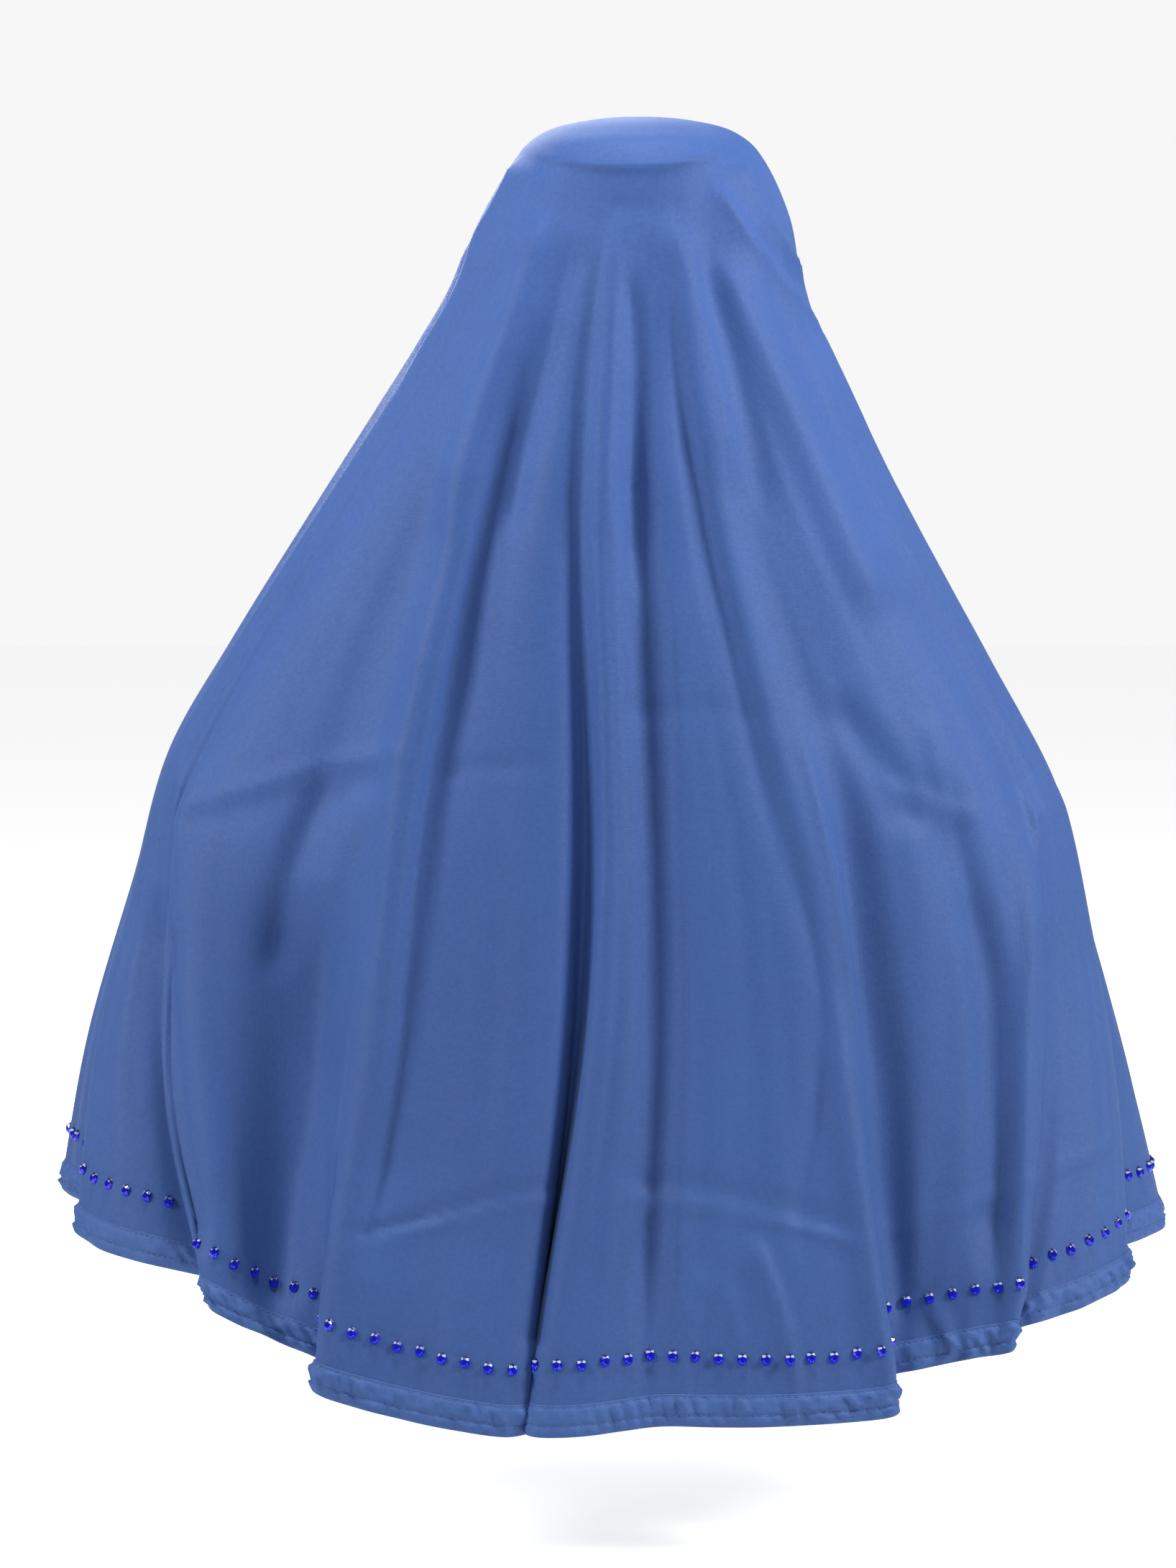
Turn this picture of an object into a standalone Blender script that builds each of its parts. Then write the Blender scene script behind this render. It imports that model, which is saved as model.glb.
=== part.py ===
# A slip-on hijab in its worn form: one long cloth shell with a face opening, its deep hem,
# the band round the face and the row of cut stones above the hem.
#
# Metres, +Z up. The face looks towards -Y and the long tail hangs at +Y.
# The origin is the inner top of the crown, where the head carries the cloth.
import math

import bmesh
import bpy
import numpy as np
from mathutils import Matrix

# Head: drop below the crown and half sizes of the widest section of the head
HEAD_DROP = 0.098
HEAD_HALF_WIDTH = 0.101
HEAD_BACK = 0.104
HEAD_FRONT = 0.093

# Shoulders: drop and half sizes of the section where the cloth leaves the shoulders
SHOULDER_DROP = 0.360
SHOULDER_HALF_WIDTH = 0.255
SHOULDER_BACK = 0.139
SHOULDER_FRONT = 0.128

# Hem: drop and half sizes of the hem at the wearer's left side, its highest place
HEM_DROP = 0.620
HEM_HALF_WIDTH = 0.320
HEM_BACK = 0.188
HEM_FRONT = 0.168
TAIL_DIP = 0.103          # how much lower the hem hangs at the centre back
SWAY = 0.018              # how far the shoulders stand towards the wearer's left of the crown
FOLD_DEPTH = 0.030        # a deep fold, from the plain surface

# Cloth and trims
CLOTH = 0.0012
HEM_THICKNESS = 0.0020
HEM_HEIGHT = 0.0165
FACE_WIDTH = 0.132        # the finished opening for the face
FACE_HEIGHT = 0.168
FACE_TOP = 0.058          # drop of the opening's upper edge
FACE_BAND = 0.012
FACE_BAND_THICKNESS = 0.0024
FACE_GAP = 0.0004         # air between the cloth and the band round the face
HEM_GAP = 0.0014          # the slot between the cloth and its hem
GLUE_GAP = 0.0003         # air between the stones' strip and the cloth

# Stones: a strip of glued tape with cut stones on it
STONE_WIDTH = 0.0050
STONE_TABLE = 0.0028
STONE_HEIGHT = 0.0020
STONE_SINK = 0.00025      # how deep a stone sits in its strip
STONE_PITCH = 0.0135
STONE_RISE = 0.0355       # the row's height above the hem's edge
STRIP_HEIGHT = 0.0060
STRIP_THICKNESS = 0.0005
STONE_SIDES = 8
STONE_ROOM = 0.0018       # clear space in front of a stone inside a fold

# Sections from the crown down. The zone names the sizes that a row's shares follow:
# drop, half width, depth behind, depth in front, and the share of the sway.
SECTIONS = (
    # name           zone       drop   width  back   front  sway
    ("crown_top",    "head",     0.000, 0.00,  0.00,  0.00,  0.00),
    ("crown_inner",  "head",     0.026, 0.30,  0.31,  0.32,  0.00),
    ("crown_middle", "head",     0.100, 0.555, 0.60,  0.60,  0.00),
    ("crown_rim",    "head",     0.195, 0.665, 0.77,  0.73,  0.00),
    ("under_rim",    "head",     0.245, 0.70,  0.81,  0.775, 0.00),
    ("forehead",     "head",     0.570, 0.87,  0.913, 0.945, 0.12),
    ("temple",       "head",     1.000, 1.00,  1.00,  1.00,  0.40),
    ("jaw",          "shoulder", 0.445, 0.53,  0.82,  0.70,  0.67),
    ("neck",         "shoulder", 0.625, 0.68,  0.88,  0.70,  0.83),
    ("shoulder_top", "shoulder", 0.833, 0.86,  0.94,  0.86,  0.89),
    ("shoulder",     "shoulder", 1.000, 1.00,  1.00,  1.00,  0.89),
    ("upper_arm",    "hem",      0.710, 0.872, 0.80,  0.857, 0.89),
    ("elbow",        "hem",      0.855, 0.947, 0.893, 0.935, 1.00),
    ("hem",          "hem",      1.000, 1.00,  1.00,  1.00,  1.00),
)
ZONE_SIZES = {
    "head": (HEAD_DROP, HEAD_HALF_WIDTH, HEAD_BACK, HEAD_FRONT, SWAY),
    "shoulder": (SHOULDER_DROP, SHOULDER_HALF_WIDTH, SHOULDER_BACK, SHOULDER_FRONT, SWAY),
    "hem": (HEM_DROP, HEM_HALF_WIDTH, HEM_BACK, HEM_FRONT, SWAY),
}

# Fold lines, in order round the cloth. Turns are degrees from the centre back, positive
# towards the wearer's right. Out is how far the line stands out, as a share of FOLD_DEPTH.
# Dip is the hem's extra drop there, as a share of TAIL_DIP. A crisp line (up to 1) keeps its edge.
FOLDS = (
    # name              turn at head, shoulder, hem   out at head, shoulder, hem  dip   crisp
    ("front_middle",    -180, -180, -180,   0.00,  0.00, -0.20,  0.70, 0.0),
    ("front_left_a",    -158, -160, -160,   0.00,  0.10,  0.27,  0.64, 0.0),
    ("front_left_b",    -137, -140, -140,   0.00, -0.10, -0.40,  0.49, 0.0),
    ("front_left_c",    -118, -122, -122,   0.00,  0.10,  0.30,  0.29, 0.0),
    ("front_left_d",    -104, -108, -106,   0.00,  0.00, -0.33,  0.12, 0.0),
    ("left_side",        -92,  -98,  -93,   0.00,  0.07,  0.20,  0.02, 0.0),
    ("left_side_back",   -80,  -91,  -83,   0.00,  0.07,  0.07,  0.01, 0.0),
    ("left_tuck",        -72,  -85,  -67,   0.00, -0.07, -0.53,  0.07, 0.0),
    ("left_tuck_edge",   -66,  -81,  -72,   0.10,  0.10,  0.33,  0.14, 0.3),
    ("left_panel",       -58,  -77,  -58,   0.07,  0.07,  0.27,  0.23, 0.0),
    ("arm_valley",       -52,  -72,  -40.5, 0.00, -0.20, -0.87,  0.33, 0.0),
    ("arm_crest",        -47,  -69,  -44.5, 0.00,  0.13,  0.43,  0.40, 0.0),
    ("arm_panel",        -42,  -56,  -37,   0.00,  0.00,  0.07,  0.53, 0.0),
    ("left_valley",      -38,  -37,  -28,  -0.03, -0.40, -1.00,  0.78, 0.2),
    ("left_crest",       -33,  -27,  -30.5, 0.10,  0.30,  0.33,  0.80, 0.8),
    ("left_slope",       -27,  -20,  -22,   0.00, -0.10,  0.27,  0.91, 0.0),
    ("left_ridge",       -20,  -12,  -14.5, 0.00,  0.13,  0.27,  0.97, 0.0),
    ("split_left_lip",   -13,  -6.3, -10,  -0.03,  0.10,  0.27,  1.00, 0.5),
    ("split_bottom",      -9,  -3.5,  -7,  -0.07, -0.47, -1.40,  0.99, 0.3),
    ("split_right_lip",   -5,  -0.7,  -7,   0.07,  0.20,  0.27,  0.99, 0.6),
    ("middle_lobe",        0,   2,    -2,   0.00,  0.07,  0.33,  0.98, 0.0),
    ("middle_valley",      6,   6,     5,  -0.07, -0.17, -0.20,  0.95, 0.2),
    ("right_slope",       10,  13,    11,   0.00,  0.07,  0.20,  0.95, 0.0),
    ("right_ridge",       14,  19,    19,   0.00,  0.07,  0.27,  0.95, 0.0),
    ("right_crest",       18,  24,    30,   0.10,  0.27,  0.37,  0.93, 0.8),
    ("right_under",       23,  30,    27.5, -0.03, -0.17, -0.87, 0.80, 0.2),
    ("far_panel",         30,  40,    34.5, 0.00,  0.00, -0.40,  0.74, 0.0),
    ("far_ridge",         38,  50,    40,   0.07,  0.10, -0.07,  0.68, 0.0),
    ("far_crest",         46,  60,    44,   0.07,  0.13,  0.37,  0.64, 0.0),
    ("far_under",         52,  66,    42.5, 0.00, -0.10, -0.40,  0.59, 0.0),
    ("edge_panel",        58,  72,    52,   0.10,  0.07,  0.20,  0.51, 0.0),
    ("edge_ridge",        64,  78,    61,   0.00,  0.10,  0.27,  0.43, 0.0),
    ("edge_crest",        70,  84,    68,   0.00,  0.13,  0.27,  0.39, 0.5),
    ("edge_under",        76,  90,    66,   0.00, -0.10, -0.73,  0.29, 0.2),
    ("right_side",        82,  96,    81,   0.00,  0.00,  0.15,  0.25, 0.0),
    ("right_side_front",  92, 103,    93,   0.00,  0.07,  0.55,  0.24, 0.0),
    ("front_right_d",    105, 110,   107,   0.00,  0.00, -0.20,  0.33, 0.0),
    ("front_right_c",    119, 122,   122,   0.00,  0.10,  0.30,  0.43, 0.0),
    ("front_right_b",    138, 140,   140,   0.00, -0.10, -0.40,  0.56, 0.0),
    ("front_right_a",    159, 160,   160,   0.00,  0.10,  0.27,  0.66, 0.0),
)
SAMPLES_PER_FOLD = 2
HALVED_BELOW = ("upper_arm", "elbow")   # a row of faces is halved below these sections
RINGLESS = ("neck",)                    # sections that shape the cloth without a ring there

CLOTH_COLOUR = (0.075, 0.135, 0.380, 1.0)
STONE_COLOUR = (0.010, 0.040, 0.600, 1.0)


def smooth_rows(knots, values, at):
    """Cubic curve through the rows, with each slope taken from the neighbouring rows."""
    spans = np.diff(knots)[:, None]
    slopes = np.diff(values, axis=0) / spans
    tangents = np.empty_like(values)
    tangents[1:-1] = ((slopes[:-1] * spans[1:] + slopes[1:] * spans[:-1])
                      / (spans[:-1] + spans[1:]))
    tangents[0], tangents[-1] = slopes[0], slopes[-1]
    i = np.clip(np.searchsorted(knots, at, side="right") - 1, 0, len(knots) - 2)
    t = ((at - knots[i]) / np.diff(knots)[i])[:, None]
    return ((2 * t**3 - 3 * t**2 + 1) * values[i] + (t**3 - 2 * t**2 + t) * spans[i] * tangents[i]
            + (3 * t**2 - 2 * t**3) * values[i + 1] + (t**3 - t**2) * spans[i] * tangents[i + 1])


def fold_weights(crisp):
    """How much each fold line counts at each point round the cloth.

    A soft line pulls the cloth like a B-spline point, a crisp one is passed through."""
    count = len(crisp)
    at = np.arange(count * SAMPLES_PER_FOLD) / SAMPLES_PER_FOLD
    first = np.floor(at).astype(int)
    f = at - first
    soft = np.stack([(1 - f)**3, 3 * f**3 - 6 * f**2 + 4,
                     -3 * f**3 + 3 * f**2 + 3 * f + 1, f**3], 1) / 6
    firm = np.stack([-f**3 + 2 * f**2 - f, 3 * f**3 - 5 * f**2 + 2,
                     -3 * f**3 + 4 * f**2 + f, f**3 - f**2], 1) / 2
    near = (first[:, None] + np.arange(-1, 3)) % count
    share = (soft * crisp[near]).sum(1)[:, None]
    weights = np.zeros((len(at), count))
    np.add.at(weights, (np.arange(len(at))[:, None], near), soft * (1 - share) + firm * share)
    return weights


class Drape:
    """The inner face of the cloth, as points at any distances down from the crown."""

    def __init__(self):
        names = [row[0] for row in SECTIONS]
        self.sections = np.array([np.multiply(row[2:], ZONE_SIZES[row[1]]) for row in SECTIONS])
        drop, spread = self.sections[:, 0], self.sections[:, 1:4].mean(1)
        steps = np.hypot(np.diff(drop), np.diff(spread))
        self.knots = np.concatenate([[0.0], np.cumsum(steps)])
        self.length = self.knots[-1]
        self.level = dict(zip(names, self.knots))
        table = np.array([row[1:] for row in FOLDS], float)
        turns, outs = np.radians(table[:, 0:3].T), table[:, 3:6].T * FOLD_DEPTH
        self.stations = np.array([self.level[name] for name in
                                  ("crown_top", "under_rim", "temple", "shoulder", "hem")])
        self.turns = turns[[0, 0, 0, 1, 2]]
        self.outs = outs[[0, 0, 0, 1, 2]] * np.array([[0], [0], [1], [1], [1]])
        self.dips = table[:, 6] * TAIL_DIP
        self.weights = fold_weights(table[:, 7])

    def points(self, levels):
        levels = np.asarray(levels, float)
        drop, width, back, front, sway = smooth_rows(self.knots, self.sections, levels).T[:, :, None]
        turn = smooth_rows(self.stations, self.turns, levels)
        out = smooth_rows(self.stations, self.outs, levels)
        temple = self.level["temple"]
        hang = np.clip((levels - temple) / (self.length - temple), 0, 1)[:, None]
        hang = hang * hang * (3 - 2 * hang)
        depth = np.where(np.cos(turn) > 0, back, front)
        # an ellipse, and each fold line moved out along the ellipse's own normal
        nx, ny = np.sin(turn) * depth, np.cos(turn) * width
        size = np.maximum(np.hypot(nx, ny), 1e-9)
        lines = np.stack([sway - width * np.sin(turn) - out * nx / size,
                          depth * np.cos(turn) + out * ny / size,
                          -drop - self.dips * hang], 2)
        return np.einsum("pl,rlc->rpc", self.weights, lines)


def material(name, colour, roughness, metallic=0.0):
    new = bpy.data.materials.new(name)
    new.use_nodes = True
    shader = new.node_tree.nodes["Principled BSDF"]
    shader.inputs["Base Color"].default_value = colour
    shader.inputs["Roughness"].default_value = roughness
    shader.inputs["Metallic"].default_value = metallic
    return new


def add_object(name, mesh, collection, finish=None):
    new = bpy.data.objects.new(name, mesh)
    collection.objects.link(new)
    if finish:
        mesh.materials.append(finish)
    return new


def loft_mesh(name, rows):
    """Faces between rings of points, from the top down, with their fronts outwards.

    Every square is split along the same diagonal, so lofts of the same rings lie parallel."""
    levels, around = rows.shape[:2]
    index = np.arange(levels * around).reshape(levels, around)
    beside = np.roll(index, -1, 1)
    faces = np.concatenate([np.stack([index[:-1], index[1:], beside[1:]], -1),
                            np.stack([index[:-1], beside[1:], beside[:-1]], -1)]).reshape(-1, 3)
    mesh = bpy.data.meshes.new(name)
    mesh.from_pydata(rows.reshape(-1, 3).tolist(), [], faces.tolist())
    bm = bmesh.new()
    bm.from_mesh(mesh)
    bmesh.ops.remove_doubles(bm, verts=bm.verts, dist=0.00001)
    bm.to_mesh(mesh)
    bm.free()
    mesh.shade_smooth()
    return mesh


def add_wall(target, thickness, outside):
    """Wall from an open surface; outside is how far it reaches beyond the surface."""
    wall = target.modifiers.new("wall", "SOLIDIFY")
    wall.thickness = thickness
    wall.offset = 2 * outside / thickness - 1


def add_boolean(target, cutter, operation):
    cut = target.modifiers.new(operation.lower(), "BOOLEAN")
    cut.operation = operation
    cut.object = cutter
    cut.solver = "EXACT"


def face_cutter(name, grow, collection):
    """An upright oval bar through the front wall; grow widens the finished opening."""
    reach = max(HEAD_FRONT, SHOULDER_FRONT) + FOLD_DEPTH
    mesh = bpy.data.meshes.new(name)
    bm = bmesh.new()
    bmesh.ops.create_cone(bm, cap_ends=True, segments=40, radius1=1, radius2=1, depth=reach)
    half_width, half_height = FACE_WIDTH / 2 + grow, FACE_HEIGHT / 2 + grow
    place = (Matrix.Translation((SWAY / 2, -reach / 2, -FACE_TOP - FACE_HEIGHT / 2))
             @ Matrix.Diagonal((half_width, 1, half_height, 1))
             @ Matrix.Rotation(math.pi / 2, 4, "X"))
    bm.transform(place)
    bm.to_mesh(mesh)
    bm.free()
    return as_cutter(add_object(name, mesh, collection))


def as_cutter(obj):
    obj.hide_render = True
    obj.display_type = "WIRE"
    return obj


def make_veil(drape, levels, finish, collection, cutter):
    veil = add_object("veil", loft_mesh("veil", drape.points(levels)), collection, finish)
    add_wall(veil, CLOTH, CLOTH)
    add_boolean(veil, cutter, "DIFFERENCE")


def make_face_band(drape, levels, finish, collection, outer, inner):
    band = add_object("face_band", loft_mesh("face_band", drape.points(levels)), collection, finish)
    add_wall(band, FACE_BAND_THICKNESS, (FACE_BAND_THICKNESS + CLOTH) / 2)
    add_boolean(band, outer, "INTERSECT")
    add_boolean(band, inner, "DIFFERENCE")


def make_hem_band(drape, finish, collection):
    rows = drape.points([drape.length - HEM_HEIGHT, drape.length])
    band = add_object("hem_band", loft_mesh("hem_band", rows), collection, finish)
    add_wall(band, HEM_THICKNESS, CLOTH)


def ring_normals(upper, lower):
    """Outward normals of the faces between two rings, and of their upright edges."""
    along = np.roll(upper, -1, 0) - upper
    normals = np.cross(lower - upper, along)
    normals /= np.linalg.norm(normals, axis=1)[:, None]
    edges = normals + np.roll(normals, 1, 0)
    return normals, edges / np.linalg.norm(edges, axis=1)[:, None]


def stone_seats(middle, normals):
    """Places for the stones: one on a flat face at every pitch, where the fold leaves room."""
    ends = np.roll(middle, -1, 0)
    lengths = np.linalg.norm(ends - middle, axis=1)
    run = np.concatenate([[0.0], np.cumsum(lengths)])
    count = int(run[-1] / STONE_PITCH)
    seats = []
    tops = np.empty((0, 3))
    clear = STONE_WIDTH / 2 + GLUE_GAP
    for place in (np.arange(count) + 0.5) * run[-1] / count:
        i = int(np.searchsorted(run, place, side="right") - 1)
        if lengths[i] < 2 * clear:
            continue
        along = (ends[i] - middle[i]) / lengths[i]
        seat = middle[i] + along * np.clip(place - run[i], clear, lengths[i] - clear)
        top = seat + normals[i] * STONE_HEIGHT
        corners = top + along * np.array([[-0.5], [0.0], [0.5]]) * STONE_WIDTH
        others = np.abs((np.arange(len(middle)) - i + len(middle) // 2) % len(middle)
                        - len(middle) // 2) > 0
        starts, spans = middle[others], (ends - middle)[others]
        offsets = corners[:, None] - starts
        t = np.clip((offsets * spans).sum(2) / (spans**2).sum(1), 0, 1)
        nearest = np.linalg.norm(offsets - t[..., None] * spans, axis=2).min()
        beside = np.linalg.norm(tops - top, axis=1).min() if len(tops) else 1.0
        if nearest > STONE_ROOM and beside > STONE_WIDTH + STONE_ROOM / 2:
            seats.append((seat, along, normals[i]))
            tops = np.vstack([tops, top])
    return seats


def make_stone_row(drape, levels, finish, collection, tools):
    rows = drape.points(levels)
    normals, edges = ring_normals(*rows)
    rows += edges * (CLOTH + GLUE_GAP)
    strip = add_object("stone_row", loft_mesh("stone_row", rows), collection, finish)
    add_wall(strip, STRIP_THICKNESS, STRIP_THICKNESS)

    middle = rows.mean(0) + edges * STRIP_THICKNESS
    bm = bmesh.new()
    for seat, along, normal in stone_seats(middle, normals):
        frame = Matrix((along, np.cross(normal, along), normal)).transposed().to_4x4()
        centre = seat + normal * (STONE_HEIGHT / 2 - STONE_SINK)
        bmesh.ops.create_cone(bm, cap_ends=True, segments=STONE_SIDES, radius1=STONE_WIDTH / 2,
                              radius2=STONE_TABLE / 2, depth=STONE_HEIGHT,
                              matrix=Matrix.Translation(centre) @ frame)
    mesh = bpy.data.meshes.new("stones")
    bm.to_mesh(mesh)
    bm.free()
    stones = as_cutter(add_object("stones", mesh, tools))
    add_boolean(strip, stones, "UNION")


def veil_levels(drape, strip_levels):
    """Where the veil's rings of points lie, down from the crown."""
    last = drape.length - HEM_HEIGHT - HEM_GAP
    levels = [level for name, level in drape.level.items() if name not in (*RINGLESS, "hem")]
    for name in HALVED_BELOW:
        below = drape.knots[drape.knots > drape.level[name]][0]
        levels.append((drape.level[name] + min(below, strip_levels[0])) / 2)
    return np.array(sorted(levels + [*strip_levels, last]))


def main():
    for old in list(bpy.data.objects):
        bpy.data.objects.remove(old, do_unlink=True)
    hijab = bpy.data.collections.new("slip_on_hijab")
    tools = bpy.data.collections.new("cutters")
    bpy.context.scene.collection.children.link(hijab)
    bpy.context.scene.collection.children.link(tools)

    drape = Drape()
    strip_levels = drape.length - STONE_RISE + np.array([-0.5, 0.5]) * STRIP_HEIGHT
    levels = veil_levels(drape, strip_levels)
    head_levels = levels[levels <= drape.level["shoulder"]]

    make_veil(drape, levels, material("veil_cloth", CLOTH_COLOUR, 0.60), hijab,
              face_cutter("veil_face_cutter", FACE_BAND + FACE_GAP, tools))
    make_face_band(drape, head_levels, material("band_cloth", CLOTH_COLOUR, 0.65), hijab,
                   face_cutter("band_outer_cutter", FACE_BAND, tools),
                   face_cutter("band_inner_cutter", 0.0, tools))
    make_hem_band(drape, material("hem_cloth", CLOTH_COLOUR, 0.60), hijab)
    make_stone_row(drape, strip_levels, material("cut_stone", STONE_COLOUR, 0.08), hijab, tools)


main()
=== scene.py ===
# A slip-on hijab, worn form, dressed: the draped crepe with its folds and creases,
# the turned hem with two rows of stitches, the face band and the row of cut stones.
# The face looks towards -Y. The camera stands behind, where the tail hangs.
import math

import bmesh
import bpy
import numpy as np
from mathutils import Matrix, Vector


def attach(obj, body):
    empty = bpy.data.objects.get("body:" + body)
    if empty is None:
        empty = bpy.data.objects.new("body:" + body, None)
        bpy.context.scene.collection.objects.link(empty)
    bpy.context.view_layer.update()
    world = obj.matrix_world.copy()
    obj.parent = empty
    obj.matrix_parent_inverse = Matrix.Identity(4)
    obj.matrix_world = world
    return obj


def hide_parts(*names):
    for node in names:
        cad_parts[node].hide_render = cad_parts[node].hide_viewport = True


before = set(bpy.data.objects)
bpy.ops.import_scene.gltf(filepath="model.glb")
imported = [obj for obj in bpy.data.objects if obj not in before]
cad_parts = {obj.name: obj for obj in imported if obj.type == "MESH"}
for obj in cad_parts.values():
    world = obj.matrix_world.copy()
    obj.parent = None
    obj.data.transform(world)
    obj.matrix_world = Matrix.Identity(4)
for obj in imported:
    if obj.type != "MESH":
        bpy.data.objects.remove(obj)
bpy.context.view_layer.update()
print("frame loaded:", len(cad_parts), "nodes")

# sizes of the cloth, in metres: drop below the crown, half width, depth behind and in front,
# and the shift towards +X
zones = {
    "head": (0.098, 0.101, 0.104, 0.093, 0.018),
    "shoulder": (0.360, 0.255, 0.139, 0.128, 0.018),
    "hem": (0.620, 0.320, 0.188, 0.168, 0.018),
}
drape = {
    "tailDip": 0.103,       # extra drop of the hem at the centre back
    "foldDepth": 0.030,     # a deep fold, from the plain surface
    "wall": 0.0012,         # thickness of the crepe
    "backSpacing": 0.0037,  # between columns of points behind, at the hem
    "frontSpacing": 0.0080,
    "rings": 168,           # rings of points from the crown to the hem
    # more rings where creases run across: from, to and how many
    "denser": ((0.066, 0.096, 14), (0.600, 0.650, 14)),
    "leastStep": 0.0008,    # a ring nearer than this to the one before is left out
    "underHem": 0.003,      # how far the cloth goes on under the hem
    "hemHeight": 0.0165,
}

# name, zone, then shares of the zone's sizes: drop, half width, behind, in front, shift
sections = (
    ("crownTop", "head", 0.000, 0.00, 0.00, 0.00, 0.00),
    ("crownInner", "head", 0.026, 0.30, 0.31, 0.32, 0.00),
    ("crownMiddle", "head", 0.100, 0.555, 0.60, 0.60, 0.00),
    ("crownRim", "head", 0.192, 0.665, 0.785, 0.73, 0.00),
    ("underRim", "head", 0.235, 0.695, 0.820, 0.775, 0.00),
    ("forehead", "head", 0.570, 0.87, 0.913, 0.945, 0.12),
    ("temple", "head", 1.000, 1.00, 1.00, 1.00, 0.40),
    ("jaw", "shoulder", 0.445, 0.53, 0.82, 0.70, 0.67),
    ("neck", "shoulder", 0.625, 0.68, 0.88, 0.70, 0.83),
    ("shoulderTop", "shoulder", 0.833, 0.86, 0.94, 0.86, 0.89),
    ("shoulder", "shoulder", 1.000, 1.00, 1.00, 1.00, 0.89),
    ("upperArm", "hem", 0.710, 0.872, 0.80, 0.857, 0.89),
    ("elbow", "hem", 0.855, 0.947, 0.893, 0.935, 1.00),
    ("hem", "hem", 1.000, 1.00, 1.00, 1.00, 1.00),
)

# fold lines round the cloth: name, turn from the centre back at the head, shoulder and hem
# (degrees, positive towards -X), how far it stands out there (shares of the fold
# depth), its extra drop at the hem (share of the tail's) and how crisp its edge is
folds = (
    ("frontMiddle", -180, -180, -180, 0.00, 0.00, -0.20, 0.70, 0.0),
    ("frontLeftA", -158, -160, -160, 0.00, 0.10, 0.27, 0.64, 0.0),
    ("frontLeftB", -137, -140, -140, 0.00, -0.10, -0.40, 0.49, 0.0),
    ("frontLeftC", -118, -122, -122, 0.00, 0.10, 0.30, 0.29, 0.0),
    ("frontLeftD", -104, -108, -106, 0.00, 0.00, -0.33, 0.12, 0.0),
    ("leftSide", -92, -98, -93, 0.00, 0.07, 0.20, 0.02, 0.0),
    ("leftSideBack", -80, -91, -83, 0.00, 0.07, 0.07, 0.01, 0.0),
    ("leftTuck", -72, -85, -67, 0.00, -0.07, -0.53, 0.07, 0.0),
    ("leftTuckEdge", -66, -81, -72, 0.10, 0.10, 0.33, 0.14, 0.4),
    ("leftPanel", -58, -77, -58, 0.07, 0.07, 0.27, 0.23, 0.0),
    ("armValley", -52, -72, -40.5, 0.00, -0.20, -0.87, 0.33, 0.1),
    ("armCrest", -47, -69, -44.5, 0.00, 0.13, 0.40, 0.38, 0.6),
    ("armPanel", -42, -56, -37, 0.00, 0.00, 0.07, 0.53, 0.0),
    ("leftValley", -38, -37, -28, -0.03, -0.40, -1.00, 0.78, 0.2),
    ("leftCrest", -33, -27, -30.5, 0.10, 0.30, 0.33, 0.80, 0.8),
    ("leftSlope", -27, -20, -22, 0.00, -0.10, 0.27, 0.91, 0.0),
    ("leftRidge", -20, -12, -14.5, 0.00, 0.13, 0.27, 0.97, 0.0),
    ("splitLeftLip", -13, -6.3, -8.6, -0.03, 0.10, 0.27, 1.00, 0.6),
    ("splitBottom", -9, -3.5, -7.9, -0.07, -0.50, -1.40, 0.99, 0.3),
    ("splitRightLip", -5, -0.7, -8.2, 0.07, 0.20, 0.27, 0.99, 0.7),
    ("middleLobe", 0, 2, -2, 0.00, 0.07, 0.33, 0.98, 0.0),
    ("middleValley", 6, 6, 5, -0.07, -0.20, -0.20, 0.95, 0.3),
    ("rightSlope", 10, 13, 11, 0.00, 0.07, 0.20, 0.95, 0.0),
    ("rightRidge", 14, 19, 19, 0.00, 0.07, 0.27, 0.95, 0.0),
    ("rightCrest", 18, 24, 30, 0.10, 0.27, 0.37, 0.93, 0.8),
    ("rightUnder", 23, 30, 27.5, -0.03, -0.17, -0.87, 0.80, 0.2),
    ("farPanel", 30, 40, 34.5, 0.00, 0.00, -0.40, 0.74, 0.0),
    ("farRidge", 38, 50, 40, 0.07, 0.10, -0.07, 0.68, 0.0),
    ("farCrest", 46, 60, 44, 0.07, 0.13, 0.37, 0.65, 0.6),
    ("farUnder", 52, 66, 42.5, 0.00, -0.10, -0.40, 0.59, 0.1),
    ("edgePanel", 58, 72, 52, 0.10, 0.07, 0.20, 0.51, 0.0),
    ("edgeRidge", 64, 78, 61, 0.00, 0.10, 0.27, 0.43, 0.0),
    ("edgeCrest", 70, 84, 68, 0.00, 0.13, 0.27, 0.39, 0.6),
    ("edgeUnder", 76, 90, 66, 0.00, -0.10, -0.73, 0.29, 0.2),
    ("rightSide", 82, 96, 81, 0.00, 0.00, 0.15, 0.25, 0.0),
    ("rightSideFront", 92, 103, 93, 0.00, 0.07, 0.55, 0.24, 0.0),
    ("frontRightD", 105, 110, 107, 0.00, 0.00, -0.20, 0.33, 0.0),
    ("frontRightC", 119, 122, 122, 0.00, 0.10, 0.30, 0.43, 0.0),
    ("frontRightB", 138, 140, 140, 0.00, -0.10, -0.40, 0.56, 0.0),
    ("frontRightA", 159, 160, 160, 0.00, 0.10, 0.27, 0.66, 0.0),
)
foldCount = len(folds)
middlePlace = [row[0] for row in folds].index("middleLobe")

# the camera stands behind at the photograph's angle
camera = {
    "target": (0.0294, 0.0, -0.3842),
    "distance": 2.4,
    "elevation": 6.0,
    "seenHeight": 0.916,    # height of the picture at the target
}


def collection(name):
    new = bpy.data.collections.new(name)
    bpy.context.scene.collection.children.link(new)
    return new


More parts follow.
